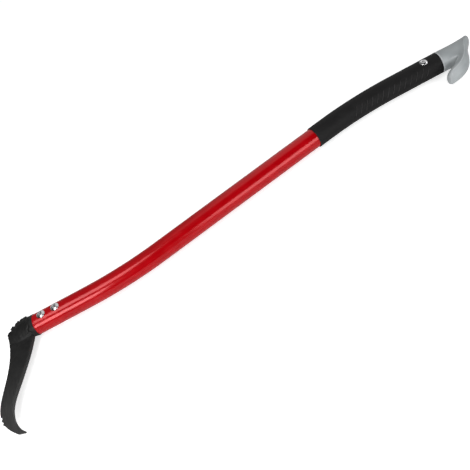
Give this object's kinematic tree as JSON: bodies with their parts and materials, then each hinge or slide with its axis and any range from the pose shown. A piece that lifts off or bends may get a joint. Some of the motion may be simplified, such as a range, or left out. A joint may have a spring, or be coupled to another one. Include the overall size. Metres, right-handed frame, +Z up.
{
  "type": "hookaroon",
  "caption": "Hand hookaroon: forged log hook with a toothed knuckle on a double-bent red tube, with a rubber grip and a moulded pommel that stops the hand.",
  "frame": {"origin": "middle of the bounding box in X and Y, on the plane that the lying tool rests on", "axes": "+X from the hook to the pommel, +Y away from the hook's point, +Z up out of the tool's flat, where the screw heads are"},
  "size_m": [0.8304, 0.2604, 0.0344],
  "materials": {
    "black_steel": "satin",
    "black_plastic": "matte",
    "red_tube": "gloss",
    "black_rubber": "matte",
    "grey_plastic": "satin",
    "bright_steel": "polished"
  },
  "bodies": {
    "root": {"hook_head": "black_steel", "tang_liner_upper": "black_plastic", "tang_liner_lower": "black_plastic", "shaft_tube": "red_tube", "grip_sleeve": "black_rubber", "pommel": "grey_plastic", "head_screw_front": "bright_steel", "head_screw_rear": "bright_steel", "head_nut_front": "bright_steel", "head_nut_rear": "bright_steel", "pommel_screw": "bright_steel", "pommel_nut": "bright_steel"}
  },
  "joints": []
}
